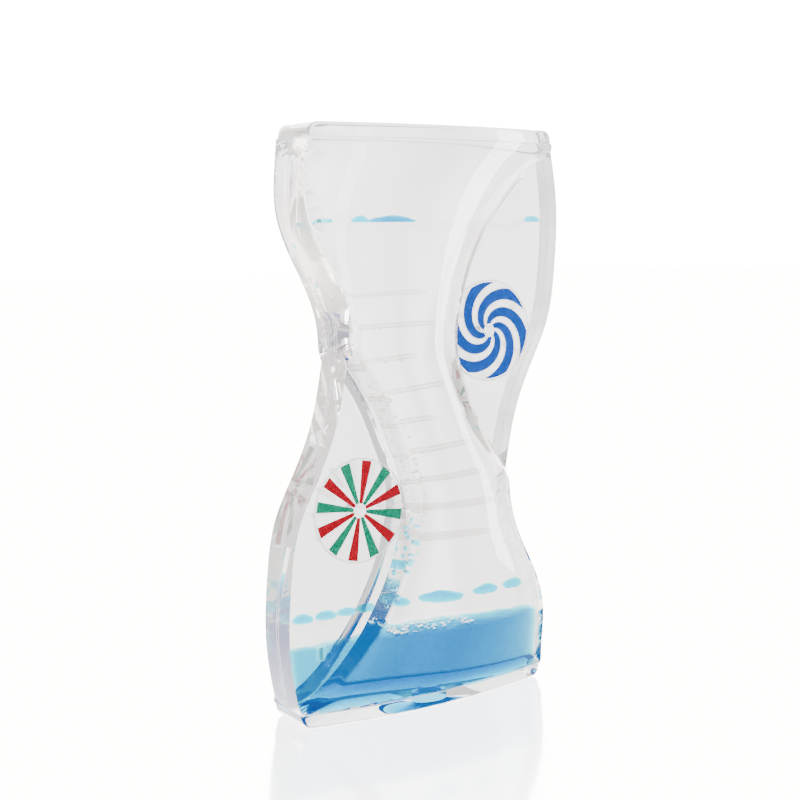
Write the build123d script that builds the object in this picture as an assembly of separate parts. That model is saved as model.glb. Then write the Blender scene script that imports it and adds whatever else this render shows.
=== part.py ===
from build123d import *
import os
from math import acos, atan2, cos, pi, radians, sin

os.makedirs("parts", exist_ok=True)

# Body: an hourglass that looks the same after a half turn about its front-to-back axis
height = 135.0
half_width = 38.8
lens_depth = 22.0
window_depth = 11.0
corner_radius = 2.4
edge_round = 0.8
step_run = 2.4
foot_lap = 0.15

# Right edge of the front outline: shares of the height and of half_width
outline_shares = [
    (0.00, 0.825),
    (0.06, 0.861),
    (0.14, 0.858),
    (0.24, 0.710),
    (0.34, 0.573),
    (0.42, 0.600),
    (0.50, 0.665),
    (0.58, 0.786),
    (0.66, 0.923),
    (0.76, 0.985),
    (0.86, 1.000),
    (0.94, 0.966),
    (1.00, 0.920),
]

# Right border of the thick middle: beyond the outline low down, the ridge of the window higher up
border_shares = [
    (0.00, 0.93),
    (0.05, 0.95),
    (0.12, 0.97),
    (0.20, 0.91),
    (0.30, 0.70),
    (0.38, 0.565),
    (0.46, 0.375),
    (0.54, 0.245),
    (0.62, 0.155),
    (0.70, 0.185),
    (0.80, 0.330),
    (0.88, 0.530),
    (0.95, 0.830),
    (1.00, 1.090),
]

# Depth of the middle at that border: shares of the height and of half the lens depth
border_depth_shares = [
    (0.00, 0.50),
    (0.05, 0.50),
    (0.12, 0.50),
    (0.20, 0.54),
    (0.30, 0.61),
    (0.38, 0.69),
    (0.46, 0.75),
    (0.54, 0.77),
    (0.62, 0.77),
    (0.70, 0.76),
    (0.80, 0.71),
    (0.88, 0.64),
    (0.95, 0.57),
    (1.00, 0.52),
]

# Walls and plates
side_wall = 2.0
face_wall = 1.8
window_wall = 1.5
plate_thickness = 3.2
drip_plate_level = 23.4
drip_plate_thickness = 1.6

# Dividers that part the middle from the two windows, with a slot for the liquid at the waist
divider_thickness = 1.6
divider_setback = 1.4
divider_low_share = 0.40

# Wheels, midway between divider and side wall, and the fixed pins and bosses that carry them
wheel_level_share = 0.6467
wheel_clearance = 2.1
wheel_depth = 5.8
disc_thickness = 1.2
hub_radius = 2.3
vane_count = 12
vane_thickness = 0.6
vane_inner_radius = 6.5
vane_edge_margin = 0.4
pin_radius = 1.0
pin_clearance = 0.05
pin_seat_depth = 0.8
boss_radius = 2.6
boss_end_gap = 0.25

# Prints on the wheels
print_thickness = 0.15
print_margin = 0.6
swirl_count = 6
swirl_width_angle = 34.0
swirl_tip_angle = 81.5
swirl_inner_radius = 1.6
swirl_circle_share = 2.14
stripe_count = 12
stripe_start_angle = 19.5
stripe_inner_radius = 1.7
stripe_inner_width = 0.75
stripe_outer_width = 2.6

# Cascade of ledges on the rear wall of the middle chamber
ledge_count = 9
ledge_pitch = 7.4
ledge_thickness = 0.9
ledge_reach = 7.0
ledge_slot = 4.2
ledge_clearance = 0.35

# Nozzles through the drip plates: a tall one on the window side, a short one on the other
nozzle_radius = 1.3
nozzle_tip_radius = 1.0
nozzle_bore_radius = 0.5
nozzle_clearance = 0.05
nozzle_collar_radius = 1.9
nozzle_collar_thickness = 0.7
window_nozzle_height = 8.0
window_nozzle_wall_gap = 8.1
middle_nozzle_height = 2.8
middle_nozzle_wall_gap = 3.4

# Filling plug in the base plate
plug_radius = 3.0
plug_head_radius = 4.4
plug_head_thickness = 1.4
plug_recess = 0.3
plug_clearance = 0.05

# Blue liquid: the pool, the drops on the lower drip plate and the puddles left on the upper one
pool_level = 17.3
liquid_gap = 0.3
drop_height = 2.3
drop_belly_share = 0.35
drop_undercut_share = 0.20
puddle_height = 1.1
puddle_ring_width = 0.8

# Places and radii of the drops: shares of the width of their chamber, from its left end
window_drop_shares = [
    (0.150, 0.120),
    (0.410, 0.125),
    (0.650, 0.108),
    (0.875, 0.108),
]
middle_drop_shares = [
    (0.120, 0.070),
    (0.394, 0.135),
    (0.687, 0.086),
    (0.882, 0.070),
]

# Places and radii of the loose puddles: shares of half_width
puddle_shares = [
    (-0.440, 0.057),
    (-0.225, 0.145),
]
edge_puddle_radius = 2.3
edge_puddle_wall_gap = 3.4

# Cutting tools run past what they cut by this much
overrun = 1.0

middle_depth = lens_depth / 2
window_half = window_depth / 2
window_inside = window_half - window_wall
wheel_half = wheel_depth / 2
nozzle_seat = drip_plate_level - drip_plate_thickness
upper_drip_level = height - drip_plate_level


def interpolate(shares, position):
    """Value of a table of shares at a share of the height, on a smooth curve through its rows."""
    for index in range(len(shares) - 1):
        low, high = shares[index], shares[index + 1]
        if position <= high[0]:
            before = shares[max(index - 1, 0)]
            after = shares[min(index + 2, len(shares) - 1)]
            span = high[0] - low[0]
            slope_low = (high[1] - before[1]) / (high[0] - before[0])
            slope_high = (after[1] - low[1]) / (after[0] - low[0])
            t = (position - low[0]) / span
            start = (2 * t**3 - 3 * t**2 + 1) * low[1] + (t**3 - 2 * t**2 + t) * span * slope_low
            end = (3 * t**2 - 2 * t**3) * high[1] + (t**3 - t**2) * span * slope_high
            return start + end
    return shares[-1][1]


def half_turn(shape):
    """Copy of a shape after the half turn that swaps the upper right and the lower left."""
    return Pos(0, 0, height) * Rot(0, 180, 0) * shape


def front_face(points):
    """Face in the middle plane through corner points given as across and up."""
    return Face(Wire.make_polygon([(x, 0, z) for x, z in points]))


def prism(face, half_depth):
    """Solid from a face in the middle plane, reaching as far forwards as backwards."""
    return extrude(face, half_depth, dir=(0, 1, 0), both=True)


def span_prism(face, front, back):
    """Solid from a face in the middle plane, between two depths."""
    return Pos(0, front, 0) * extrude(face, back - front, dir=(0, 1, 0))


def layer(low, high):
    """Slab across the whole body between two heights."""
    width = 2 * half_width + 2 * overrun
    depth = lens_depth + 2 * overrun
    return Pos(0, 0, (low + high) / 2) * Box(width, depth, high - low)


def rod(x, z, radius, front, back):
    """Round bar from front to back, centred on a point of the front view."""
    middle = (front + back) / 2
    return Pos(x, middle, z) * Rot(90, 0, 0) * Cylinder(radius, back - front)


def outline_face(inset):
    """Front outline of the body, drawn in from its side edges by an inset."""
    right = [(share * half_width - inset, rise * height) for rise, share in outline_shares]
    left = [(-x, height - z) for x, z in right]
    return Face(
        Wire(
            [
                Spline([(x, 0, z) for x, z in right]),
                Line((right[-1][0], 0, right[-1][1]), (left[0][0], 0, left[0][1])),
                Spline([(x, 0, z) for x, z in left]),
                Line((left[-1][0], 0, left[-1][1]), (right[0][0], 0, right[0][1])),
            ]
        )
    )


def middle_section(share, inset, thinning):
    """Level section of the thick middle: crowned faces, with bevels that run in under the windows."""
    right = interpolate(border_shares, share) * half_width - inset
    left = inset - interpolate(border_shares, 1 - share) * half_width
    right_depth = interpolate(border_depth_shares, share) * middle_depth - thinning
    left_depth = interpolate(border_depth_shares, 1 - share) * middle_depth - thinning
    crown = middle_depth - thinning
    foot = window_half - thinning - foot_lap
    level = share * height
    centre = (left + right) / 2
    foot_right = right + step_run
    foot_left = left - step_run
    front = ThreePointArc((left, -left_depth, level), (centre, -crown, level), (right, -right_depth, level))
    rear = ThreePointArc((right, right_depth, level), (centre, crown, level), (left, left_depth, level))
    return Face(
        Wire(
            [
                front,
                Line((right, -right_depth, level), (foot_right, -foot, level)),
                Line((foot_right, -foot, level), (foot_right, foot, level)),
                Line((foot_right, foot, level), (right, right_depth, level)),
                rear,
                Line((left, left_depth, level), (foot_left, foot, level)),
                Line((foot_left, foot, level), (foot_left, -foot, level)),
                Line((foot_left, -foot, level), (left, -left_depth, level)),
            ]
        )
    )


def body_form(inset, thinning, window_thinning):
    """Form of the body: flat windows and the crowned middle, all inside the front outline."""
    rises = [rise for rise, share in border_shares]
    rises = sorted(set(rises + [round(1 - rise, 4) for rise in rises]))
    outline = outline_face(inset)
    middle = loft([middle_section(rise, inset, thinning) for rise in rises])
    return (middle & prism(outline, lens_depth)) + prism(outline, window_half - window_thinning)


def end_plate():
    """Slab that closes the lower end, with rounded corners and a rounded rim."""
    plan = middle_section(plate_thickness / height, 0, 0)
    slab = extrude(plan, plate_thickness, dir=(0, 0, -1)) & prism(outline_face(0), lens_depth)
    corners = slab.faces().sort_by(Axis.Z)[0].edges().filter_by(Axis.Y)
    slab = fillet(corners.sort_by(Axis.X)[0:1] + corners.sort_by(Axis.X)[-1:], corner_radius)
    return fillet(slab.faces().sort_by(Axis.Z)[0].edges().filter_by(Axis.Y, reverse=True), edge_round)


def plug():
    """Headed plug that stops the filling hole from below."""
    head = Pos(0, 0, plug_recess + plug_head_thickness / 2) * Cylinder(plug_head_radius, plug_head_thickness)
    shank_length = plate_thickness - plug_recess
    shank = Pos(0, 0, plug_recess + shank_length / 2) * Cylinder(plug_radius, shank_length)
    return head + shank


def plug_hole():
    """Stepped hole for the filling plug."""
    head_depth = plug_recess + plug_head_thickness
    head = Pos(0, 0, (head_depth - overrun) / 2) * Cylinder(
        plug_head_radius + plug_clearance, head_depth + overrun
    )
    shank = Pos(0, 0, plate_thickness / 2) * Cylinder(
        plug_radius + plug_clearance, plate_thickness + 2 * overrun
    )
    return head + shank


def divider():
    """Curved wall that stands behind the right ridge, from the waist to the upper drip plate."""
    top_share = upper_drip_level / height
    rises = [rise for rise, share in border_shares if divider_low_share < rise < top_share]
    rises = [divider_low_share] + rises + [top_share]
    ridge = [(interpolate(border_shares, rise) * half_width, rise * height) for rise in rises]
    near = [(x - divider_setback, z) for x, z in ridge]
    far = [(x - divider_thickness, z) for x, z in reversed(near)]
    face = Face(
        Wire(
            [
                Spline([(x, 0, z) for x, z in near]),
                Line((near[-1][0], 0, near[-1][1]), (far[0][0], 0, far[0][1])),
                Spline([(x, 0, z) for x, z in far]),
                Line((far[-1][0], 0, far[-1][1]), (near[0][0], 0, near[0][1])),
            ]
        )
    )
    return cavity & prism(face, lens_depth)


def wheel_moulding():
    """Clear wheel before it is placed: printed disc, hub and the vanes that catch the drops."""
    disc = rod(0, 0, wheel_radius, -wheel_half, disc_thickness - wheel_half)
    hub = rod(0, 0, hub_radius, -wheel_half, wheel_half)
    length = wheel_radius - vane_edge_margin - vane_inner_radius
    depth = wheel_depth - disc_thickness
    radius = vane_inner_radius + length / 2
    vane = Pos(radius, disc_thickness / 2, 0) * Box(length, depth, vane_thickness)
    solid = disc + hub
    for index in range(vane_count):
        solid += Rot(0, index * 360 / vane_count, 0) * vane
    return solid - rod(0, 0, pin_radius + pin_clearance, -wheel_half - overrun, wheel_half + overrun)


def film(face):
    """Thin printed film on the front of a wheel."""
    return span_prism(face, -wheel_half - print_thickness, -wheel_half)


def swirl(tip_angle):
    """One swirl blade: two arcs through the hub that curl clockwise out to the rim."""

    def edge_point(radius, turn):
        angle = radians(tip_angle + turn) - acos(print_radius / swirl_circle) + acos(radius / swirl_circle)
        return (radius * cos(angle), 0, radius * sin(angle))

    middle = (print_radius + swirl_inner_radius) / 2
    width = swirl_width_angle
    return Face(
        Wire(
            [
                ThreePointArc(
                    edge_point(swirl_inner_radius, 0),
                    edge_point(middle, 0),
                    edge_point(print_radius, 0),
                ),
                ThreePointArc(
                    edge_point(print_radius, 0),
                    edge_point(print_radius, width / 2),
                    edge_point(print_radius, width),
                ),
                ThreePointArc(
                    edge_point(print_radius, width),
                    edge_point(middle, width),
                    edge_point(swirl_inner_radius, width),
                ),
                ThreePointArc(
                    edge_point(swirl_inner_radius, width),
                    edge_point(swirl_inner_radius, width / 2),
                    edge_point(swirl_inner_radius, 0),
                ),
            ]
        )
    )


def stripe(angle):
    """One straight stripe that widens from the hub to the rim."""
    wedge = front_face(
        [
            (stripe_inner_radius, -stripe_inner_width / 2),
            (print_radius, -stripe_outer_width / 2),
            (print_radius, stripe_outer_width / 2),
            (stripe_inner_radius, stripe_inner_width / 2),
        ]
    )
    return film(wedge).rotate(Axis.Y, -angle)


def nozzle(x, reach):
    """Nozzle in the lower drip plate: spigot in the plate, collar and tapered spout in the reservoir."""
    profile = front_face(
        [
            (nozzle_bore_radius, drip_plate_level),
            (nozzle_radius, drip_plate_level),
            (nozzle_radius, nozzle_seat),
            (nozzle_collar_radius, nozzle_seat),
            (nozzle_collar_radius, nozzle_seat - nozzle_collar_thickness),
            (nozzle_radius, nozzle_seat - nozzle_collar_thickness),
            (nozzle_tip_radius, nozzle_seat - reach),
            (nozzle_bore_radius, nozzle_seat - reach),
        ]
    )
    return Pos(x, 0, 0) * revolve(profile, Axis.Z)


def upright(x, radius, low, high):
    """Upright cylinder in the middle plane, between two heights."""
    return Pos(x, 0, (low + high) / 2) * Cylinder(radius, high - low)


def chamber_edge(share):
    """Right limit of the middle chamber at a share of the height."""
    wall = interpolate(outline_shares, share) * half_width - side_wall
    barrier = interpolate(border_shares, share) * half_width - divider_setback - divider_thickness
    return min(wall, barrier) if share > divider_low_share else wall


def ledge(index):
    """One ledge of the cascade, with its slot on the left and right by turns."""
    level = height / 2 + (index - (ledge_count - 1) / 2) * ledge_pitch
    left = ledge_clearance - chamber_edge(1 - level / height)
    right = chamber_edge(level / height) - ledge_clearance
    if index % 2:
        left += ledge_slot
    else:
        right -= ledge_slot
    front = middle_depth - face_wall - ledge_reach
    low, high = level - ledge_thickness / 2, level + ledge_thickness / 2
    face = front_face([(left, low), (right, low), (right, high), (left, high)])
    return span_prism(face, front, middle_depth) & cavity


def blob(x, radius, rise, level):
    """Flattened round drop on a level surface: a foot that flares to the belly, and a round cap."""
    belly = level + rise * drop_belly_share
    top = level + rise
    foot = radius - rise * drop_undercut_share
    cap = ((top - belly) ** 2 + radius**2) / (2 * (top - belly))
    centre = top - cap
    middle = (atan2(belly - centre, radius) + pi / 2) / 2
    profile = Face(
        Wire(
            [
                Line((0, 0, level), (foot, 0, level)),
                Line((foot, 0, level), (radius, 0, belly)),
                ThreePointArc(
                    (radius, 0, belly),
                    (cap * cos(middle), 0, centre + cap * sin(middle)),
                    (0, 0, top),
                ),
                Line((0, 0, top), (0, 0, level)),
            ]
        )
    )
    return Pos(x, 0, 0) * revolve(profile, Axis.Z)


outer = body_form(0, 0, 0)
cavity = body_form(side_wall, face_wall, window_wall)

# Wheels fill the room between divider and side wall, apart from their clearance
wheel_level = wheel_level_share * height
room_left = interpolate(border_shares, wheel_level_share) * half_width - divider_setback
room_right = interpolate(outline_shares, wheel_level_share) * half_width - side_wall
wheel_offset = (room_left + room_right) / 2
wheel_radius = (room_right - room_left) / 2 - wheel_clearance
print_radius = wheel_radius - print_margin
swirl_circle = swirl_circle_share * print_radius

# Shells, with the bosses that hold the wheels apart from the walls and the seats of their pins
pin_end = window_inside + pin_seat_depth
front_boss_end = -wheel_half - print_thickness - boss_end_gap
rear_boss_end = wheel_half + boss_end_gap
bosses = rod(wheel_offset, wheel_level, boss_radius, -window_inside, front_boss_end)
bosses += rod(wheel_offset, wheel_level, boss_radius, rear_boss_end, window_inside)
seat = rod(wheel_offset, wheel_level, pin_radius + pin_clearance, -pin_end, pin_end)
shell = (outer & layer(plate_thickness, height - plate_thickness)) - cavity
shell = shell + bosses + half_turn(bosses) - seat - half_turn(seat)
front_half = span_prism(
    front_face(
        [
            (-half_width - overrun, 0),
            (half_width + overrun, 0),
            (half_width + overrun, height),
            (-half_width - overrun, height),
        ]
    ),
    -lens_depth,
    0,
)

# Drip plate and pool, with room for the two nozzles
seat_share = nozzle_seat / height
window_wall_x = interpolate(outline_shares, 1 - seat_share) * half_width - side_wall
window_nozzle_x = window_nozzle_wall_gap - window_wall_x
middle_nozzle_x = interpolate(outline_shares, seat_share) * half_width - side_wall - middle_nozzle_wall_gap
nozzle_places = [(window_nozzle_x, window_nozzle_height), (middle_nozzle_x, middle_nozzle_height)]
drip_plate = cavity & layer(nozzle_seat, drip_plate_level)
pool = cavity & layer(plate_thickness, pool_level)
for x, reach in nozzle_places:
    drip_plate -= upright(x, nozzle_radius + nozzle_clearance, 0, drip_plate_level + overrun)
    pool -= upright(x, nozzle_radius + liquid_gap, nozzle_seat - reach - liquid_gap, drip_plate_level)

# Puddles on the upper drip plate: one lies round the short nozzle there
puddle_level = height - nozzle_seat
collar_room = nozzle_collar_radius + liquid_gap
puddle_top = puddle_level + puddle_height
ring = blob(-middle_nozzle_x, collar_room + puddle_ring_width, puddle_height, puddle_level)
ring -= upright(-middle_nozzle_x, collar_room, puddle_level - overrun, puddle_top + overrun)
edge_puddle_x = window_wall_x - edge_puddle_wall_gap
puddles = [ring, blob(edge_puddle_x, edge_puddle_radius, puddle_height, puddle_level)]
for x, radius in puddle_shares:
    puddles.append(blob(x * half_width, radius * half_width, puddle_height, puddle_level))

# Drops along the lower drip plate: four in the window, four in the middle chamber
drip_share = drip_plate_level / height
room_ends = [
    side_wall - interpolate(outline_shares, 1 - drip_share) * half_width,
    divider_setback - interpolate(border_shares, 1 - drip_share) * half_width,
    interpolate(outline_shares, drip_share) * half_width - side_wall,
]
rooms = [
    (room_ends[0], room_ends[1] - room_ends[0], window_drop_shares),
    (room_ends[1] + divider_thickness, room_ends[2] - room_ends[1] - divider_thickness, middle_drop_shares),
]
drops = []
for start, room, shares in rooms:
    for place, radius in shares:
        drops.append(blob(start + place * room, radius * room, drop_height, drip_plate_level))

base = end_plate()
right_divider = divider()
left_divider = half_turn(right_divider)
wheel = wheel_moulding()
place_right = Pos(wheel_offset, 0, wheel_level)
place_left = Pos(-wheel_offset, 0, height - wheel_level)
pin = rod(wheel_offset, wheel_level, pin_radius, -pin_end, pin_end)

nodes = {
    "front_shell": shell & front_half,
    "rear_shell": shell - front_half,
    "base_plate": base - plug_hole(),
    "top_plate": half_turn(base),
    "filling_plug": plug(),
    "lower_drip_plate": drip_plate,
    "upper_drip_plate": half_turn(drip_plate),
    "right_divider": right_divider,
    "left_divider": left_divider,
    "blue_wheel": place_right * wheel,
    "blue_wheel_swirls": Compound(
        [place_right * film(swirl(swirl_tip_angle + turn * 360 / swirl_count)) for turn in range(swirl_count)]
    ),
    "blue_wheel_pin": pin,
    "striped_wheel": place_left * wheel,
    "striped_wheel_pin": half_turn(pin),
}
for colour, first in (("red", 0), ("green", 1)):
    nodes[f"striped_wheel_{colour}_stripes"] = Compound(
        [
            place_left * stripe(stripe_start_angle + turn * 360 / stripe_count)
            for turn in range(first, stripe_count, 2)
        ]
    )
for name, place in zip(("window", "middle"), nozzle_places):
    nodes[f"lower_{name}_nozzle"] = nozzle(*place)
    nodes[f"upper_{name}_nozzle"] = half_turn(nozzle(*place))
for index in range(ledge_count):
    nodes[f"cascade_ledge_{index + 1}"] = ledge(index)
nodes["blue_pool"] = pool
nodes["resting_drops"] = Compound(drops)
nodes["upper_puddles"] = Compound(puddles)

for name, shape in nodes.items():
    export_step(shape, f"parts/{name}.step")
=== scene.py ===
"""Looks of a clear hourglass timer: polished body, inner mouldings, printed wheels and dyed liquid."""

import logging
import random
from dataclasses import dataclass
from enum import Enum
from math import cos, pi, radians, sin

import bpy
from mathutils import Matrix, Vector, noise
from mathutils.bvhtree import BVHTree


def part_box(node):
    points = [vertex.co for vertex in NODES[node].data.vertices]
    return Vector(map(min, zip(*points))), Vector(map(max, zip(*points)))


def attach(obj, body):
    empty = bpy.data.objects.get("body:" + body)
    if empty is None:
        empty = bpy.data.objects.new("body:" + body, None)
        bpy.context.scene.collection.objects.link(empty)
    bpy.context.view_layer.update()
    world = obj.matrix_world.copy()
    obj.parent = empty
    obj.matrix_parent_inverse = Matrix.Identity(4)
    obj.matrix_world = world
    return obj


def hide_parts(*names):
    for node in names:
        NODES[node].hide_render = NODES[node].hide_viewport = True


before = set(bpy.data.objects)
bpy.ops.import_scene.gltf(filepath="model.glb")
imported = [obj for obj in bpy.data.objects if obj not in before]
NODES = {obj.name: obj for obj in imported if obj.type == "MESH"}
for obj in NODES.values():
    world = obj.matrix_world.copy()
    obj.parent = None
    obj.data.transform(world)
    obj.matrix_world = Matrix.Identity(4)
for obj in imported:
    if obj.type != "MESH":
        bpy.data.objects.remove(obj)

Colour = tuple[float, float, float]
Span = tuple[float, float]
Place = tuple[Vector, float]
Ribbon = tuple[Span, Span]

LOG = logging.getLogger("timer")
MM = 0.001
HAIR = 0.01 * MM
MERGE_GAP = HAIR / 10
EVEN_BLEND = 0.5
WHITE: Colour = (1.0, 1.0, 1.0)
# A light path through clear stock that goes past one of these depths ends in a painted glow, soft light in
# place of the light that the path would have found.
MOST_TURNS = {"Ray Depth": 9.5, "Transparent Depth": 6.5, "Glossy Depth": 2.5}
SOFT_LIGHT = 1.3
SOFT_LIGHT_TINT: Colour = (1.0, 0.985, 0.975)


class Ink(Enum):
    """Printing inks on the wheels, as linear colours."""

    BLUE = (0.004, 0.050, 0.270)
    RED = (0.270, 0.002, 0.010)
    GREEN = (0.002, 0.170, 0.095)
    WHITE = (0.800, 0.820, 0.850)


class Skin(Enum):
    """Which of a housing piece's two finishes a face takes."""

    OUTER = 0
    INNER = 1


class Axis(Enum):
    """The axis that a pair of parallel planes stands across."""

    DEPTH = 1
    HEIGHT = 2


@dataclass
class Bench:
    """The node tree of a new material or world, and the few moves needed to wire it."""

    owner: bpy.types.Material | bpy.types.World

    @classmethod
    def named(cls, name: str) -> "Bench":
        """Makes a bench with an empty node material.

        Args:
            name: the material's name.

        Returns:
            The bench.
        """
        material = bpy.data.materials.new(name)
        material.use_nodes = True
        material.node_tree.nodes.clear()
        return cls(material)

    def add(self, kind: str, **sockets: object) -> bpy.types.Node:
        """Adds a node.

        Args:
            kind: the node's type name, without its ShaderNode start.
            sockets: values for its input sockets, with underscores for spaces.

        Returns:
            The new node.
        """
        node = self.owner.node_tree.nodes.new(f"ShaderNode{kind}")
        for name, value in sockets.items():
            colour = isinstance(value, tuple) and len(value) == 3
            node.inputs[name.replace("_", " ")].default_value = (*value, 1) if colour else value
        return node

    def join(self, source: bpy.types.NodeSocket, target: bpy.types.NodeSocket) -> None:
        """Links an output socket to an input socket."""
        self.owner.node_tree.links.new(source, target)

    def clouds(self, size: float, detail: float = 2.0) -> bpy.types.NodeSocket:
        """Wires a noise value in Object coordinates.

        Args:
            size: size of its features in metres.
            detail: how much finer noise is laid over it.

        Returns:
            The socket that gives it.
        """
        place = self.add("TexCoord")
        waves = self.add("TexNoise", Scale=1 / size, Detail=detail)
        self.join(place.outputs["Object"], waves.inputs["Vector"])
        return waves.outputs["Fac"]

    def ripple(self, shader: bpy.types.Node, size: float, depth: float) -> None:
        """Gives a shader a fine unevenness.

        Args:
            shader: the shader whose normal is disturbed.
            size: width of one ripple in metres.
            depth: height of the ripples in metres.
        """
        bump = self.add("Bump", Strength=1.0, Distance=depth)
        self.join(self.clouds(size), bump.inputs["Height"])
        self.join(bump.outputs["Normal"], shader.inputs["Normal"])

    def glass(self, tint: Colour, roughness: float, index: float) -> bpy.types.Node:
        """Adds a shader that lets light through and bends it.

        Args:
            tint: the colour that light takes on at the surface.
            roughness: how rough the surface is.
            index: how strongly it bends light.

        Returns:
            The shader.
        """
        shader = self.add("BsdfPrincipled", Base_Color=tint, Roughness=roughness, IOR=index)
        shader.inputs["Transmission Weight"].default_value = 1.0
        return shader

    def blend(
        self, share: bpy.types.NodeSocket | float, under: bpy.types.Node, over: bpy.types.Node
    ) -> bpy.types.Node:
        """Mixes two shaders.

        Args:
            share: how much of the second shows, as a number or a socket.
            under: the first shader.
            over: the second shader.

        Returns:
            The mix.
        """
        mix = self.add("MixShader")
        if isinstance(share, float):
            mix.inputs[0].default_value = share
        else:
            self.join(share, mix.inputs[0])
        self.join(under.outputs[0], mix.inputs[1])
        self.join(over.outputs[0], mix.inputs[2])
        return mix

    def rim(self, start: float, most: float) -> bpy.types.NodeSocket:
        """Wires a value that rises where the surface turns away from the eye.

        Args:
            start: facing value at which it starts to rise.
            most: its highest value, where the surface is seen edge on.

        Returns:
            The socket that gives it.
        """
        weight = self.add("LayerWeight", Blend=EVEN_BLEND)
        spread = self.add("MapRange", From_Min=start, From_Max=1.0, To_Max=most)
        self.join(weight.outputs["Facing"], spread.inputs["Value"])
        return spread.outputs["Result"]

    def finish(
        self, shader: bpy.types.Node, lamps_pass: bool, volume: bpy.types.Node | None = None
    ) -> bpy.types.Material:
        """Wires the shader to the output.

        Args:
            shader: the surface shader.
            lamps_pass: whether lamps shine straight through, as they do through clear stock, and whether
                spent light paths end in a painted glow.
            volume: the shader of what lies inside, if it has one.

        Returns:
            The finished material.
        """
        output = self.add("OutputMaterial")
        if lamps_pass:
            # Painted glow: paths past MOST_TURNS show soft light here instead of going dark.
            soft = self.add("Emission", Color=SOFT_LIGHT_TINT, Strength=SOFT_LIGHT)
            path = self.add("LightPath")
            for depth, most in MOST_TURNS.items():
                spent = self.add("Math")
                spent.operation = "GREATER_THAN"
                spent.inputs[1].default_value = most
                self.join(path.outputs[depth], spent.inputs[0])
                shader = self.blend(spent.outputs[0], shader, soft)
            shader = self.blend(path.outputs["Is Shadow Ray"], shader, self.add("BsdfTransparent"))
        self.join(shader.outputs[0], output.inputs["Surface"])
        if volume is not None:
            self.join(volume.outputs[0], output.inputs["Volume"])
        return self.owner


@dataclass(frozen=True)
class PolishedFinish:
    """Polished clear plastic that bends light by its index."""

    name: str
    index: float
    tint: Colour
    roughness: float = 0.0
    ripple_size: float = 14 * MM
    ripple_depth: float = 0.03 * MM

    def build(self) -> bpy.types.Material:
        """Makes the material.

        Returns:
            The material.
        """
        bench = Bench.named(self.name)
        shader = bench.glass(self.tint, self.roughness, self.index)
        bench.ripple(shader, self.ripple_size, self.ripple_depth)
        return bench.finish(shader, lamps_pass=True)


@dataclass(frozen=True)
class WettedFinish:
    """Clear plastic that light passes straight through, with a faint haze and pale edges."""

    name: str
    tint: Colour
    edge: Colour
    edge_start: float
    edge_share: float
    haze: float
    roughness: float = 0.45
    ripple_size: float = 2 * MM
    ripple_depth: float = 0.02 * MM

    def build(self) -> bpy.types.Material:
        """Makes the material.

        Returns:
            The material.
        """
        bench = Bench.named(self.name)
        clear = bench.add("BsdfTransparent", Color=self.tint)
        milky = bench.add("BsdfPrincipled", Base_Color=self.edge, Roughness=self.roughness)
        bench.ripple(milky, self.ripple_size, self.ripple_depth)
        hazy = bench.blend(self.haze, clear, milky)
        rim = bench.rim(self.edge_start, self.edge_share)
        return bench.finish(bench.blend(rim, hazy, milky), lamps_pass=True)


@dataclass(frozen=True)
class InkFinish:
    """Opaque printed ink with a slightly mottled coat."""

    ink: Ink
    roughness: float = 0.35
    index: float = 1.12
    mottle_size: float = 1.6 * MM
    mottle_detail: float = 3.0
    mottle: float = 0.12
    coat_fineness: float = 4.0
    coat_depth: float = 0.004 * MM

    def build(self) -> bpy.types.Material:
        """Makes the material.

        Returns:
            The material.
        """
        bench = Bench.named(f"ink_{self.ink.name.lower()}")
        shader = bench.add("BsdfPrincipled", Roughness=self.roughness, IOR=self.index)
        ramp = bench.add("ValToRGB")
        dark, light = ramp.color_ramp.elements
        dark.color = (*[channel * (1 - self.mottle) for channel in self.ink.value], 1)
        light.color = (*[min(1.0, channel * (1 + self.mottle)) for channel in self.ink.value], 1)
        bench.join(bench.clouds(self.mottle_size, self.mottle_detail), ramp.inputs["Fac"])
        bench.join(ramp.outputs["Color"], shader.inputs["Base Color"])
        bench.ripple(shader, self.mottle_size / self.coat_fineness, self.coat_depth)
        return bench.finish(shader, lamps_pass=False)


@dataclass(frozen=True)
class LiquidFinish:
    """Dyed liquid, which gets deeper in colour with thickness, with a painted glow in its own colour that
    stands in for light shining through it from behind.
    """

    name: str
    dye: Colour
    density: float
    index: float
    # body and the strength below are the colour and strength of a painted glow, standing in for light shining
    # through the liquid.
    body: Colour = (0.0, 0.38, 1.0)
    painted_glow_strength: float = 58.0
    ripple_size: float = 5 * MM
    ripple_depth: float = 0.03 * MM

    def build(self) -> bpy.types.Material:
        """Makes the material.

        Returns:
            The material.
        """
        bench = Bench.named(self.name)
        shader = bench.glass(WHITE, 0.0, self.index)
        bench.ripple(shader, self.ripple_size, self.ripple_depth)
        # The volume is the dye's absorption plus a painted glow that stands in for light shining through the
        # liquid.
        depth = bench.add("AddShader")
        dye = bench.add("VolumeAbsorption", Color=self.dye, Density=self.density)
        glow = bench.add("Emission", Color=self.body, Strength=self.painted_glow_strength)
        bench.join(dye.outputs[0], depth.inputs[0])
        bench.join(glow.outputs[0], depth.inputs[1])
        return bench.finish(shader, lamps_pass=True, volume=depth)


def pick_only(piece: bpy.types.Object) -> None:
    """Deselects everything, then selects one piece and makes it active.

    Args:
        piece: the piece.
    """
    bpy.ops.object.select_all(action="DESELECT")
    piece.select_set(True)
    bpy.context.view_layer.objects.active = piece


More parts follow.
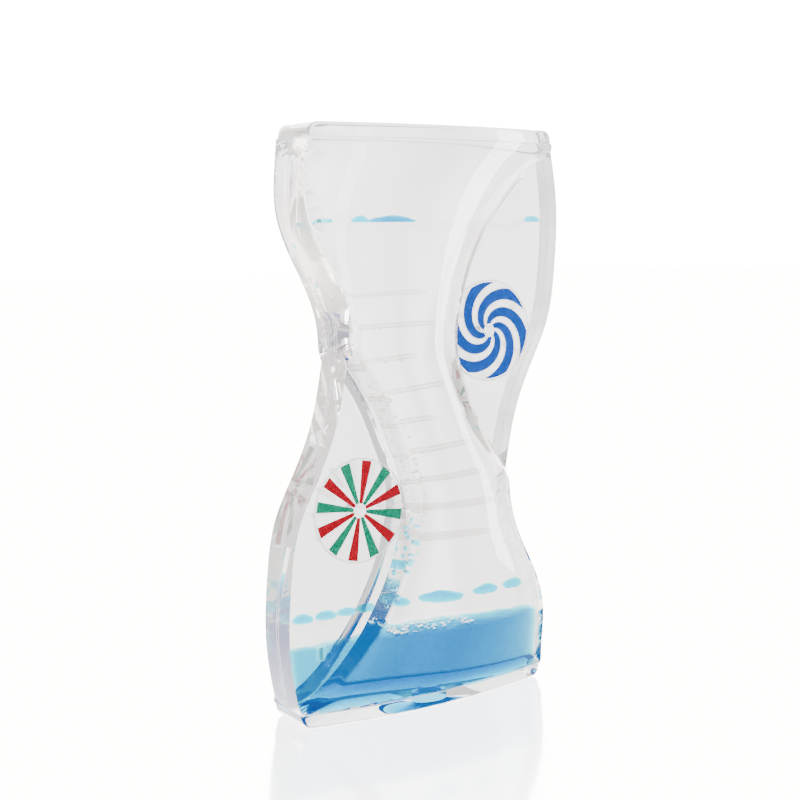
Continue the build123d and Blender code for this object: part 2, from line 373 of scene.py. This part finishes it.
def copy_of(node: str, name: str, smooth: float = 28.0) -> bpy.types.Object:
    """Makes a merged, smooth-shaded copy of a CAD node.

    Args:
        node: the CAD node.
        name: the copy's name.
        smooth: largest angle, in degrees, that is shaded smooth.

    Returns:
        The copy, at the origin with its place in its mesh.
    """
    piece = bpy.data.objects.new(name, NODES[node].data.copy())
    bpy.context.scene.collection.objects.link(piece)
    piece.data.materials.clear()
    pick_only(piece)
    bpy.ops.object.mode_set(mode="EDIT")
    bpy.ops.mesh.select_all(action="SELECT")
    bpy.ops.mesh.remove_doubles(threshold=MERGE_GAP)
    bpy.ops.object.mode_set(mode="OBJECT")
    bpy.ops.object.shade_smooth_by_angle(angle=radians(smooth))
    return piece


def dress(piece: bpy.types.Object, *materials: bpy.types.Material) -> None:
    """Puts materials into a piece's slots.

    Args:
        piece: the piece.
        materials: its materials, in the order of its slots.
    """
    while len(piece.material_slots) < len(materials):
        piece.data.materials.append(None)
    for slot, material in zip(piece.material_slots, materials):
        slot.material = material


def joined(name: str, pieces: list[bpy.types.Object]) -> bpy.types.Object:
    """Joins pieces into one.

    Args:
        name: the new piece's name.
        pieces: the pieces.

    Returns:
        The new piece.
    """
    bpy.ops.object.select_all(action="DESELECT")
    for piece in pieces:
        piece.select_set(True)
    bpy.context.view_layer.objects.active = pieces[0]
    bpy.ops.object.join()
    pieces[0].name = name
    return pieces[0]


def settle(piece: bpy.types.Object, body: str) -> bpy.types.Object:
    """Lets a new piece ride on a body.

    Args:
        piece: the piece.
        body: the body that carries it.

    Returns:
        The same piece.
    """
    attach(piece, body)
    return piece


@dataclass
class Housing:
    """Two shells and two end plates, bonded into one clear block around the liquid."""

    parts: tuple[str, ...] = ("front_shell", "rear_shell", "top_plate", "base_plate")
    reach: float = 200 * MM
    bond_gap: float = 2 * HAIR
    smooth: float = 18.0
    flat_facing: float = 0.9999
    window_depth: float = 6 * MM
    skin: PolishedFinish = PolishedFinish("clear_outer_skin", index=1.49, tint=(0.992, 0.992, 0.992))
    rear_wall: PolishedFinish = PolishedFinish("clear_rear_wall", index=1.010, tint=WHITE)
    dyed_floor: PolishedFinish = PolishedFinish("dyed_floor_wall", index=1.010, tint=(0.01, 0.34, 0.72))
    front_wall: WettedFinish = WettedFinish(
        "clear_front_wall",
        tint=(0.995, 0.995, 0.995),
        edge=(0.70, 0.72, 0.74),
        edge_start=0.90,
        edge_share=0.25,
        haze=0.0,
    )

    def build(self) -> list[bpy.types.Object]:
        """Copies the CAD pieces and splits each one's faces between outer skin and inner wall.

        Returns:
            The new pieces.
        """
        pieces = [copy_of(node, f"{node}_clear", self.smooth) for node in self.parts]
        for piece, node in zip(pieces, self.parts):
            if "shell" in node:
                self._sharpen_windows(piece)
        skin, rear = self.skin.build(), self.rear_wall.build()
        inner = (self.front_wall.build(), rear, rear, self.dyed_floor.build())
        trees = [self._tree(piece) for piece in pieces]
        for number, (piece, node) in enumerate(zip(pieces, self.parts)):
            dress(piece, skin, inner[number])
            others = trees[:number] + trees[number + 1 :]
            for face in piece.data.polygons:
                face.material_index = self._skin_of(face, trees, others).value
            settle(piece, "housing")
            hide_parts(node)
        return pieces

    def _sharpen_windows(self, piece: bpy.types.Object) -> None:
        """Marks the borders of the flat windows sharp, so that the windows shade flat.

        Args:
            piece: the shell whose windows they are.
        """
        pick_only(piece)
        for face in piece.data.polygons:
            face.select = abs(face.normal.y) > self.flat_facing and abs(face.center.y) < self.window_depth
        bpy.context.tool_settings.mesh_select_mode = (False, False, True)
        bpy.ops.object.mode_set(mode="EDIT")
        bpy.ops.mesh.region_to_loop()
        bpy.ops.mesh.mark_sharp()
        bpy.ops.object.mode_set(mode="OBJECT")

    def _tree(self, piece: bpy.types.Object) -> BVHTree:
        """Returns a search tree over a piece's faces."""
        corners = [vertex.co.copy() for vertex in piece.data.vertices]
        return BVHTree.FromPolygons(corners, [tuple(face.vertices) for face in piece.data.polygons])

    def _skin_of(self, face: bpy.types.MeshPolygon, trees: list[BVHTree], others: list[BVHTree]) -> Skin:
        """Tells an outer face, which faces nothing of the housing, from an inner or bonded one.

        Args:
            face: the face.
            trees: search trees of all the housing's pieces.
            others: those of the pieces that the face isn't part of.

        Returns:
            The finish that the face takes.
        """
        start = face.center + face.normal * HAIR
        bonded = any(tree.find_nearest(face.center, self.bond_gap)[0] is not None for tree in others)
        seen = any(tree.ray_cast(start, face.normal, self.reach)[0] is not None for tree in trees)
        return Skin.INNER if bonded or seen else Skin.OUTER


@dataclass
class BondLines:
    """Fine milky lines where the housing's pieces are bonded, cut from the skin of the shells."""

    seam_offset: float = 0.30 * MM
    seam_width: float = 0.28 * MM
    bond_offset: float = 0.10 * MM
    bond_width: float = 0.22 * MM
    depth: float = 0.012 * MM
    thickness_share: float = 1.5
    seam: WettedFinish = WettedFinish(
        "seam_line",
        tint=(0.93, 0.93, 0.94),
        edge=(0.86, 0.88, 0.90),
        edge_start=0.2,
        edge_share=0.8,
        haze=0.45,
    )
    bond: WettedFinish = WettedFinish(
        "bond_line",
        tint=(0.93, 0.94, 0.95),
        edge=(0.80, 0.82, 0.85),
        edge_start=0.2,
        edge_share=0.4,
        haze=0.25,
    )

    def build(self) -> list[bpy.types.Object]:
        """Makes the seam line of each shell and the bond lines at its foot and head.

        Returns:
            The lines.
        """
        lines = []
        seam, bond = self.seam.build(), self.bond.build()
        low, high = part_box("front_shell")
        foot, head = low.z + self.bond_offset, high.z - self.bond_offset
        for node, side in (("front_shell", -1), ("rear_shell", 1)):
            start = side * self.seam_offset
            span = tuple(sorted((start, start + side * self.seam_width)))
            lines.append(self._strip(node, f"{node}_seam_line", Axis.DEPTH, span, seam))
            span = (foot, foot + self.bond_width)
            lines.append(self._strip(node, f"{node}_base_bond", Axis.HEIGHT, span, bond))
            span = (head - self.bond_width, head)
            lines.append(self._strip(node, f"{node}_top_bond", Axis.HEIGHT, span, bond))
        return lines

    def _strip(
        self, node: str, name: str, axis: Axis, span: Span, material: bpy.types.Material
    ) -> bpy.types.Object:
        """Cuts a narrow strip of outer skin between two parallel planes and sinks it a little.

        Args:
            node: the CAD node whose skin is used.
            name: the strip's name.
            axis: the axis that the planes stand across.
            span: places of the lower and the higher plane.
            material: the strip's finish.

        Returns:
            The strip, as a thin closed solid.
        """
        piece = bpy.data.objects.new(name, bpy.data.objects[f"{node}_clear"].data.copy())
        bpy.context.scene.collection.objects.link(piece)
        pick_only(piece)
        for face in piece.data.polygons:
            face.select = face.material_index == Skin.INNER.value
        bpy.context.tool_settings.mesh_select_mode = (False, False, True)
        bpy.ops.object.mode_set(mode="EDIT")
        bpy.ops.mesh.delete(type="FACE")
        for place, turn in zip(span, (-1.0, 1.0)):
            normal = [0.0, 0.0, 0.0]
            normal[axis.value] = turn
            point = [0.0, 0.0, 0.0]
            point[axis.value] = place
            bpy.ops.mesh.select_all(action="SELECT")
            bpy.ops.mesh.bisect(plane_co=point, plane_no=normal, clear_outer=True)
        bpy.ops.mesh.select_all(action="SELECT")
        bpy.ops.transform.shrink_fatten(value=-self.depth)
        bpy.ops.object.mode_set(mode="OBJECT")
        wall = piece.modifiers.new("thickness", "SOLIDIFY")
        wall.thickness = self.thickness_share * self.depth
        wall.offset = -1
        bpy.ops.object.modifier_apply(modifier=wall.name)
        piece.data.materials.clear()
        dress(piece, material)
        return settle(piece, "housing")


@dataclass
class Mouldings:
    """Clear pieces inside the housing: drip plates, nozzles, dividers, ledges, pins and the plug."""

    moulding: WettedFinish = WettedFinish(
        "clear_moulding",
        tint=(0.985, 0.983, 0.980),
        edge=(0.60, 0.59, 0.58),
        edge_start=0.86,
        edge_share=0.22,
        haze=0.02,
    )
    ledge: WettedFinish = WettedFinish(
        "clear_ledge",
        tint=(0.960, 0.955, 0.950),
        edge=(0.30, 0.29, 0.28),
        edge_start=0.66,
        edge_share=0.50,
        haze=0.06,
    )
    turned: PolishedFinish = PolishedFinish(
        "clear_turned_piece", index=1.010, tint=(0.98, 0.98, 0.98), ripple_size=3 * MM
    )

    def dress(self) -> int:
        """Gives the CAD nodes their finish.

        Returns:
            How many nodes were dressed.
        """
        finishes = (
            (("drip_plate", "divider", "filling_plug"), self.moulding.build()),
            (("ledge",), self.ledge.build()),
            (("nozzle", "wheel_pin"), self.turned.build()),
        )
        dressed = 0
        for kinds, finish in finishes:
            for name in NODES:
                if any(kind in name for kind in kinds):
                    dress(NODES[name], finish)
                    dressed += 1
        return dressed


@dataclass
class Wheels:
    """Two clear wheels with printed discs, the swept blades of the blue one and the pale rims."""

    blade_turn: float = radians(157)
    blade_sweep: float = radians(117)
    blade_half_width: float = radians(17)
    blade_count: int = 6
    blade_steps: tuple[int, int] = (24, 6)
    grid_half: float = 0.5
    edge_width: float = 0.24 * MM
    rim_width: float = 0.26 * MM
    rim_relief: float = 0.09 * MM
    rim_segments: tuple[int, int] = (96, 8)
    clear: WettedFinish = WettedFinish(
        "clear_wheel",
        tint=(0.965, 0.965, 0.968),
        edge=(0.80, 0.81, 0.83),
        edge_start=0.62,
        edge_share=0.75,
        haze=0.05,
    )

    def build(self) -> list[bpy.types.Object]:
        """Gives the wheels and stripes their finishes, and makes new blades, edges and rims.

        Returns:
            The new pieces.
        """
        clear, white = self.clear.build(), InkFinish(Ink.WHITE).build()
        for name in ("blue_wheel", "striped_wheel"):
            dress(NODES[name], clear)
        for name, ink in (("striped_wheel_red_stripes", Ink.RED), ("striped_wheel_green_stripes", Ink.GREEN)):
            dress(NODES[name], InkFinish(ink).build())
        whole = (((-1, 0.0), (1, 0.0)),)
        blades = self._swirl("blue_wheel_blades", whole, 0.0)
        dress(blades, InkFinish(Ink.BLUE).build())
        settle(blades, "blue_wheel")
        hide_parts("blue_wheel_swirls")
        width = self.edge_width
        borders = (((-1, -width), (-1, 0.0)), ((1, 0.0), (1, width)))
        edges = self._swirl("blue_wheel_blade_edges", borders, HAIR)
        rims = [
            (self._rim("blue_wheel", "blue_wheel_swirls"), "blue_wheel"),
            (self._rim("striped_wheel", "striped_wheel_red_stripes"), "striped_wheel"),
        ]
        for piece, wheel in [(edges, "blue_wheel"), *rims]:
            dress(piece, white)
            settle(piece, wheel)
        return [blades, edges, *[piece for piece, _ in rims]]

    def _swirl(self, name: str, bands: tuple[Ribbon, ...], sink: float) -> bpy.types.Object:
        """Makes ribbons of print that sweep from the hub of the blue wheel to its rim.

        Args:
            name: the piece's name.
            bands: the ribbons of one blade, each by its two sides: a share of half the blade's
                width, and a margin in metres.
            sink: how much lower than the blades their front lies.

        Returns:
            The ribbons of all the blades, as one piece.
        """
        low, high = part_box("blue_wheel_swirls")
        centre = (low + high) / 2
        spread = [
            Vector((vertex.co.x - centre.x, vertex.co.z - centre.z)).length
            for vertex in NODES["blue_wheel_swirls"].data.vertices
        ]
        root, reach = min(spread), max(spread)
        along, across = self.blade_steps
        ribbons = []
        for number in range(self.blade_count):
            turn = self.blade_turn + number * 2 * pi / self.blade_count
            for sides in bands:
                bpy.ops.object.select_all(action="DESELECT")
                bpy.ops.mesh.primitive_grid_add(x_subdivisions=along, y_subdivisions=across, size=1)
                ribbon = bpy.context.active_object
                for vertex in ribbon.data.vertices:
                    run, side = vertex.co.x + self.grid_half, vertex.co.y + self.grid_half
                    radius = root + run * (reach - root)
                    first, last = [share * self.blade_half_width + margin / radius for share, margin in sides]
                    angle = turn - run * self.blade_sweep + first + side * (last - first)
                    vertex.co = (centre.x + cos(angle) * radius, low.y + sink, centre.z + sin(angle) * radius)
                wall = ribbon.modifiers.new("thickness", "SOLIDIFY")
                wall.thickness = high.y - low.y - sink
                wall.offset = -1
                bpy.ops.object.modifier_apply(modifier=wall.name)
                ribbons.append(ribbon)
        return joined(name, ribbons)

    def _rim(self, wheel: str, print_node: str) -> bpy.types.Object:
        """Makes the fine pale line round a wheel's disc, in front of the disc's own edge.

        Args:
            wheel: the wheel's node.
            print_node: a print on its disc, which gives the disc's front.

        Returns:
            The rim line.
        """
        low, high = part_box(wheel)
        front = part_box(print_node)[1].y
        round_disc, round_line = self.rim_segments
        bpy.ops.object.select_all(action="DESELECT")
        bpy.ops.mesh.primitive_torus_add(
            major_radius=(high.z - low.z - self.rim_width) / 2 - HAIR,
            minor_radius=self.rim_width / 2,
            major_segments=round_disc,
            minor_segments=round_line,
        )
        rim = bpy.context.active_object
        rim.name = f"{wheel}_rim_line"
        flatness = self.rim_relief / self.rim_width
        for vertex in rim.data.vertices:
            across, up, out = vertex.co
            depth = front - self.rim_relief / 2 - HAIR - out * flatness
            vertex.co = ((low.x + high.x) / 2 + across, depth, (low.z + high.z) / 2 + up)
        return rim


@dataclass
class Liquid:
    """Dyed liquid: the pool, the drops that rest on the plate and the puddles left above."""

    wall_film: float = 0.05 * MM
    pool_voxel: float = 0.42 * MM
    drop_voxel: float = 0.20 * MM
    wave_voxels: int = 2
    wave_height: float = 0.34 * MM
    wave_size: float = 3.2 * MM
    wave_fineness: int = 3
    wave_shares: tuple[float, float] = (1.1, 0.5)
    fine_wave_shift: tuple[float, float, float] = (7.0, 3.0, 0.0)
    drop_wobble: float = 0.45 * MM
    drop_wobble_size: float = 3.0 * MM
    wobble_fineness: int = 4
    fine_wobble_share: float = 0.35
    wobble_rise: float = 2 * MM
    drop_flatness: float = 0.85
    puddle_flatness: float = 1.30
    # The pool and the drops carry a painted glow in their body colour, standing in for light shining through
    # them.
    pool: LiquidFinish = LiquidFinish(
        "dyed_pool", dye=(0.0, 0.79, 0.868), density=600.0, index=1.010, body=(0.0, 0.36, 0.78)
    )
    drops: LiquidFinish = LiquidFinish(
        "dyed_drops",
        dye=(0.0, 0.87, 0.935),
        density=1400.0,
        index=1.012,
        body=(0.0, 1.0, 1.0),
        painted_glow_strength=110.0,
    )

    def build(self) -> list[bpy.types.Object]:
        """Makes the pool, the drops and the puddles, each in place of its CAD node.

        Returns:
            The new pieces.
        """
        pool = self._remeshed("blue_pool", "blue_pool_liquid", self.pool_voxel, -self.wall_film)
        top = max(vertex.co.z for vertex in pool.data.vertices)
        for vertex in pool.data.vertices:
            share = 1 - (top - vertex.co.z) / (self.wave_voxels * self.pool_voxel)
            if share > 0:
                vertex.co.z += share * self.wave_height * self._wave(vertex.co)
        dress(pool, self.pool.build())
        cyan = self.drops.build()
        pieces = [settle(pool, "housing")]
        kinds = (("resting_drops", self.drop_flatness), ("upper_puddles", self.puddle_flatness))
        for node, flatness in kinds:
            piece = self._remeshed(node, f"{node}_liquid", self.drop_voxel, 0.0)
            self._wobble(piece, flatness)
            dress(piece, cyan)
            pieces.append(settle(piece, "housing"))
        return pieces

    def _wave(self, place: Vector) -> float:
        """Works out the height of the pool's ragged surface.

        Args:
            place: a point on the surface.

        Returns:
            The height there, from -1 to 1.
        """
        broad = noise.noise(place / self.wave_size)
        fine = noise.noise(place / (self.wave_size / self.wave_fineness) + Vector(self.fine_wave_shift))
        broad_share, fine_share = self.wave_shares
        return max(-1.0, min(1.0, broad_share * broad + fine_share * fine))

    def _wobble(self, piece: bpy.types.Object, flatness: float) -> None:
        """Makes drops uneven in plan and height, with their feet kept on the plate.

        Args:
            piece: the drops.
            flatness: their new height as a share of the old one.
        """
        foot = min(vertex.co.z for vertex in piece.data.vertices)
        for vertex in piece.data.vertices:
            broad = noise.noise_vector(vertex.co / self.drop_wobble_size)
            fine = noise.noise_vector(vertex.co / (self.drop_wobble_size / self.wobble_fineness))
            push = self.drop_wobble * (broad + self.fine_wobble_share * fine)
            rise = vertex.co.z - foot
            vertex.co.x += push.x
            vertex.co.y += push.y
            vertex.co.z = foot + rise * (flatness + push.z / self.wobble_rise)

    def _remeshed(self, node: str, name: str, voxel: float, growth: float) -> bpy.types.Object:
        """Copies a CAD node with an even mesh.

        Args:
            node: the CAD node.
            name: the copy's name.
            voxel: size of the new mesh.
            growth: how far the skin moves outwards first, or inwards where it is negative.

        Returns:
            The copy.
        """
        piece = copy_of(node, name)
        bpy.ops.object.mode_set(mode="EDIT")
        bpy.ops.mesh.select_all(action="SELECT")
        bpy.ops.transform.shrink_fatten(value=growth, use_even_offset=True)
        bpy.ops.object.mode_set(mode="OBJECT")
        even = piece.modifiers.new("even", "REMESH")
        even.mode = "VOXEL"
        even.voxel_size = voxel
        even.use_smooth_shade = True
        bpy.ops.object.modifier_apply(modifier=even.name)
        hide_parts(node)
        return piece


@dataclass
class Beads:
    """Small beads: specks under the ledges, froth on the pool, bubbles and runs on the left divider."""

    seed: int = 11
    segments: int = 8
    rings: int = 6
    bead_drop: float = 1.25
    bead_crown: float = 0.85
    specks_each: int = 9
    speck_radius: Span = (0.10 * MM, 0.26 * MM)
    speck_margin: float = MM
    speck_crowding: int = 2
    speck_reach_share: float = 0.6
    speck_sink_share: float = 0.9
    # The specks glow with the default painted glow of dyed liquid.
    speck: LiquidFinish = LiquidFinish("dyed_specks", dye=(0.05, 0.42, 0.60), density=900.0, index=1.08)
    froth_count: int = 110
    froth_radius: Span = (0.20 * MM, 0.62 * MM)
    froth_span: Span = (-10 * MM, 12 * MM)
    froth_depth: float = 5.5 * MM
    froth_crowding: float = 1.6
    froth_rise_share: float = 0.25
    # The froth glows with the default painted glow of dyed liquid.
    froth: LiquidFinish = LiquidFinish("pool_froth", dye=(0.0, 0.62, 0.90), density=160.0, index=0.90)
    middle_facing: float = 0.2
    ridge_rise_share: float = 0.8
    bubble_span: Span = (44 * MM, 79 * MM)
    bubble_count: int = 150
    bubble_radius: Span = (0.16 * MM, 0.46 * MM)
    bubble: PolishedFinish = PolishedFinish("clear_bubble", index=0.80, tint=WHITE, ripple_size=1 * MM)
    run_span: Span = (24 * MM, 44 * MM)
    run_count: int = 70
    run_radius: Span = (0.22 * MM, 0.70 * MM)
    # The runs carry a brighter painted glow in their body colour.
    run: LiquidFinish = LiquidFinish(
        "dyed_runs",
        dye=(0.0, 0.84, 0.95),
        density=2200.0,
        index=1.06,
        body=(0.0, 1.0, 1.0),
        painted_glow_strength=150.0,
    )

    def build(self) -> list[bpy.types.Object]:
        """Makes the specks under the ledges, the froth on the pool and the beads along the left ridge.

        Returns:
            The new pieces.
        """
        draw = random.Random(self.seed)
        specks, froth = self._speck_places(draw), self._froth_places(draw)
        bubbles = self._ridge_places(draw, self.bubble_span, self.bubble_count, self.bubble_radius)
        runs = self._ridge_places(draw, self.run_span, self.run_count, self.run_radius)
        pieces = []
        for name, places, finish, slot in (
            ("ledge_specks", specks, self.speck, "cyan_liquid"),
            ("pool_froth", froth, self.froth, "blue_liquid"),
            ("ridge_bubbles", bubbles, self.bubble, "clear_inner_acrylic"),
            ("ridge_runs", runs, self.run, "cyan_liquid"),
        ):
            piece = self._cluster(name, places)
            dress(piece, finish.build())
            pieces.append(settle(piece, "housing"))
        return pieces

    def _ridge_places(self, draw: random.Random, span: Span, count: int, radii: Span) -> list[Place]:
        """Finds places for beads on the middle side of the left divider.

        Args:
            draw: the source of random numbers.
            span: lowest and highest place of a bead.
            count: how many beads.
            radii: smallest and largest bead.

        Returns:
            The centre and radius of each bead.
        """
        mesh = NODES["left_divider"].data
        faces = [face for face in mesh.polygons if face.normal.x > self.middle_facing]
        areas = [face.area for face in faces]
        places = []
        while len(places) < count:
            face = draw.choices(faces, weights=areas)[0]
            corners = [mesh.vertices[corner].co for corner in face.vertices[:3]]
            first, second = sorted((draw.random(), draw.random()))
            point = corners[0] * first + corners[1] * (second - first) + corners[2] * (1 - second)
            radius = draw.uniform(*radii)
            if span[0] < point.z < span[1]:
                places.append((point + face.normal * radius * self.ridge_rise_share, radius))
        return places

    def _speck_places(self, draw: random.Random) -> list[Place]:
        """Finds places for specks under the ledges, densest at their front edges.

        Args:
            draw: the source of random numbers.

        Returns:
            The centre and radius of each speck.
        """
        places = []
        ledges = [name for name in NODES if "ledge" in name]
        for name in ledges:
            low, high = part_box(name)
            for _ in range(self.specks_each):
                radius = draw.uniform(*self.speck_radius)
                across = draw.uniform(low.x + self.speck_margin, high.x - self.speck_margin)
                inwards = draw.random() ** self.speck_crowding
                back = low.y + inwards * (high.y - low.y) * self.speck_reach_share + radius
                places.append((Vector((across, back, low.z - radius * self.speck_sink_share)), radius))
        return places

    def _froth_places(self, draw: random.Random) -> list[Place]:
        """Finds places for froth bubbles on the pool, densest at the left.

        Args:
            draw: the source of random numbers.

        Returns:
            The centre and radius of each bubble.
        """
        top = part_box("blue_pool")[1].z
        left, right = self.froth_span
        places = []
        for _ in range(self.froth_count):
            radius = draw.uniform(*self.froth_radius)
            along = draw.random() ** self.froth_crowding
            across = left + along * (right - left)
            deep = draw.uniform(-1, 1) * self.froth_depth
            places.append((Vector((across, deep, top + radius * self.froth_rise_share)), radius))
        return places

    def _bead(self) -> bpy.types.Mesh:
        """Makes the mesh of one bead, a sphere drawn out downwards and flattened on top.

        Returns:
            The mesh, with a radius of one.
        """
        bpy.ops.object.select_all(action="DESELECT")
        bpy.ops.mesh.primitive_uv_sphere_add(segments=self.segments, ring_count=self.rings, radius=1)
        bead = bpy.context.active_object
        for vertex in bead.data.vertices:
            vertex.co.z *= self.bead_drop if vertex.co.z < 0 else self.bead_crown
        bpy.ops.object.shade_smooth()
        mesh = bead.data.copy()
        bpy.data.objects.remove(bead)
        return mesh

    def _cluster(self, name: str, places: list[Place]) -> bpy.types.Object:
        """Joins one bead at each place into one piece.

        Args:
            name: the piece's name.
            places: centre and radius of each bead.

        Returns:
            The piece.
        """
        bead = self._bead()
        beads = []
        for centre, radius in places:
            mesh = bead.copy()
            mesh.transform(Matrix.Translation(centre) @ Matrix.Scale(radius, 4))
            beads.append(bpy.data.objects.new(name, mesh))
            bpy.context.scene.collection.objects.link(beads[-1])
        return joined(name, beads)


@dataclass(frozen=True)
class SoftLamp:
    """A soft rectangular lamp, placed by its angle round from the front and the height of its centre."""

    name: str
    azimuth: float
    rise: float
    size: Span
    power: float
    distance: float = 0.6

    def build(self, aim: Vector) -> None:
        """Adds the lamp.

        Args:
            aim: the point that it faces.
        """
        light = bpy.data.lights.new(self.name, "AREA")
        light.shape = "RECTANGLE"
        light.size, light.size_y = self.size
        light.energy = self.power
        lamp = bpy.data.objects.new(self.name, light)
        outwards = Vector((sin(self.azimuth), -cos(self.azimuth), 0))
        place = outwards * self.distance + Vector((0, 0, self.rise))
        lamp.location = place
        lamp.rotation_euler = (aim - place).to_track_quat("-Z", "Y").to_euler()
        bpy.context.scene.collection.objects.link(lamp)


@dataclass
class Studio:
    """White floor, soft lamps and the camera of the photograph."""

    azimuth: float = radians(-34.5)
    elevation: float = radians(6.7)
    roll: float = radians(-0.6)
    distance: float = 334 * MM
    aim_across: float = -3.8 * MM
    aim_height: float = 71.5 * MM
    focal_px: float = 1410.0
    image_px: float = 800.0
    sensor_mm: float = 36.0
    floor_size: float = 6.0
    floor_drop: float = 0.12 * MM
    floor_tint: Colour = (0.97, 0.97, 0.97)
    floor_roughness: float = 0.12
    floor_gloss: float = 0.75
    backdrop_glow: float = 18.0
    air_glow: float = 4.6
    air_tint: Colour = (1.0, 0.965, 0.945)
    air_tilt: float = -0.1
    air_levels: tuple[Span, ...] = (
        (0.0, 0.30),
        (0.30, 0.30),
        (0.42, 0.34),
        (0.55, 0.45),
        (0.66, 0.70),
        (0.80, 0.95),
        (1.0, 1.0),
    )
    mirror_contrast: float = 4.0
    cloud_scale: float = 5.0
    cloud_detail: float = 1.0
    cloud_range: Span = (0.3, 0.7)
    cloud_share: float = 0.30
    lamps: tuple[SoftLamp, ...] = (
        SoftLamp("strip_right", azimuth=radians(57), rise=0.16, size=(0.10, 0.50), power=4.0),
        SoftLamp("key_above", azimuth=radians(-20), rise=0.75, size=(0.30, 0.30), power=9.0),
    )

    def build(self) -> None:
        """Sets up the whole studio."""
        self._camera()
        self._floor()
        self._surround()
        for lamp in self.lamps:
            lamp.build(Vector((0, 0, self.aim_height)))

    def _camera(self) -> None:
        """Adds the camera, set as the photograph was taken."""
        right = Vector((cos(self.azimuth), sin(self.azimuth), 0))
        level = Vector((sin(self.azimuth), -cos(self.azimuth), 0))
        back = level * cos(self.elevation) + Vector((0, 0, sin(self.elevation)))
        up = back.cross(right)
        turned_right = cos(self.roll) * right + sin(self.roll) * up
        turned_up = cos(self.roll) * up - sin(self.roll) * right
        lens = bpy.data.cameras.new("photo_camera")
        lens.sensor_width = self.sensor_mm
        lens.lens = self.focal_px * self.sensor_mm / self.image_px
        camera = bpy.data.objects.new("photo_camera", lens)
        aim = right * self.aim_across + Vector((0, 0, self.aim_height))
        turn = Matrix((turned_right, turned_up, back)).transposed().to_4x4()
        camera.matrix_world = Matrix.Translation(aim + back * self.distance) @ turn
        bpy.context.scene.collection.objects.link(camera)
        bpy.context.scene.camera = camera

    def _floor(self) -> None:
        """Adds the glossy white floor, a little below the base. Only the camera sees it."""
        bpy.ops.object.select_all(action="DESELECT")
        bpy.ops.mesh.primitive_plane_add(size=self.floor_size, location=(0, 0, -self.floor_drop))
        floor = bpy.context.active_object
        floor.name = "studio_floor"
        bench = Bench.named("white_floor")
        gloss = bench.add("BsdfGlossy", Color=self.floor_tint, Roughness=self.floor_roughness)
        glow = bench.add("Emission", Color=WHITE, Strength=self.backdrop_glow)
        sheen = bench.blend(self.floor_gloss, glow, gloss)
        unseen = bench.add("BsdfTransparent")
        path = bench.add("LightPath")
        shown = bench.blend(path.outputs["Is Camera Ray"], unseen, sheen)
        dress(floor, bench.finish(shown, lamps_pass=False))

    def _surround(self) -> None:
        """Lights the object all round, from air that is brightest behind it.

        The camera sees a plain white backdrop, and mirror reflections see the air with more contrast.
        """
        world = bpy.data.worlds.new("studio_air")
        bpy.context.scene.world = world
        world.use_nodes = True
        bench = Bench(world)
        place = bench.add("TexCoord").outputs["Generated"]
        colours = self._air_colours(bench, place)
        dim = bench.add("VectorMath")
        dim.operation = "SCALE"
        bench.join(colours, dim.inputs[0])
        bench.join(self._air_clouds(bench, place), dim.inputs["Scale"])
        air = world.node_tree.nodes["Background"]
        air.inputs["Strength"].default_value = self.air_glow
        bench.join(dim.outputs[0], air.inputs["Color"])
        deepen = bench.add("Gamma", Gamma=self.mirror_contrast)
        bench.join(colours, deepen.inputs["Color"])
        mirrored = bench.add("Background", Strength=self.backdrop_glow)
        bench.join(deepen.outputs["Color"], mirrored.inputs["Color"])
        backdrop = bench.add("Background", Color=WHITE, Strength=self.backdrop_glow)
        path = bench.add("LightPath")
        gloss_only = bench.add("Math")
        gloss_only.operation = "MULTIPLY"
        bench.join(path.outputs["Is Glossy Ray"], gloss_only.inputs[0])
        bench.join(path.outputs["Is Reflection Ray"], gloss_only.inputs[1])
        shown = bench.blend(gloss_only.outputs[0], air, mirrored)
        shown = bench.blend(path.outputs["Is Camera Ray"], shown, backdrop)
        bench.join(shown.outputs[0], world.node_tree.nodes["World Output"].inputs["Surface"])

    def _air_colours(self, bench: Bench, place: bpy.types.NodeSocket) -> bpy.types.NodeSocket:
        """Wires the colour of the air, from dim in front of the object to bright behind it.

        Args:
            bench: the bench of the world.
            place: the socket that gives the direction looked in.

        Returns:
            The socket that gives the colour.
        """
        along = bench.add("VectorMath")
        along.operation = "DOT_PRODUCT"
        along.inputs[1].default_value = (-sin(self.azimuth), cos(self.azimuth), self.air_tilt)
        spread = bench.add("MapRange", From_Min=-1.0)
        ramp = bench.add("ValToRGB")
        elements = ramp.color_ramp.elements
        elements.remove(elements[1])
        for number, (position, level) in enumerate(self.air_levels):
            stop = elements[0] if number == 0 else elements.new(position)
            stop.color = (*[level * share for share in self.air_tint], 1)
        bench.join(place, along.inputs[0])
        bench.join(along.outputs["Value"], spread.inputs["Value"])
        bench.join(spread.outputs["Result"], ramp.inputs["Fac"])
        return ramp.outputs["Color"]

    def _air_clouds(self, bench: Bench, place: bpy.types.NodeSocket) -> bpy.types.NodeSocket:
        """Wires soft clouds that dim the air here and there.

        Args:
            bench: the bench of the world.
            place: the socket that gives the direction looked in.

        Returns:
            The socket that gives the share of light left.
        """
        dimmest, clearest = self.cloud_range
        cloud = bench.add("TexNoise", Scale=self.cloud_scale, Detail=self.cloud_detail)
        level = bench.add("MapRange", From_Min=dimmest, From_Max=clearest, To_Min=1 - self.cloud_share)
        bench.join(place, cloud.inputs["Vector"])
        bench.join(cloud.outputs["Fac"], level.inputs["Value"])
        return level.outputs["Result"]


def main() -> None:
    """Builds and dresses the timer in order."""
    logging.basicConfig(level=logging.INFO)
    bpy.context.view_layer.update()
    made = Housing().build() + BondLines().build() + Wheels().build() + Liquid().build() + Beads().build()
    for piece in made:
        LOG.info("%s: %d faces", piece.name, len(piece.data.polygons))
    LOG.info("mouldings dressed: %d", Mouldings().dress())
    Studio().build()


if __name__ == "__main__":
    main()
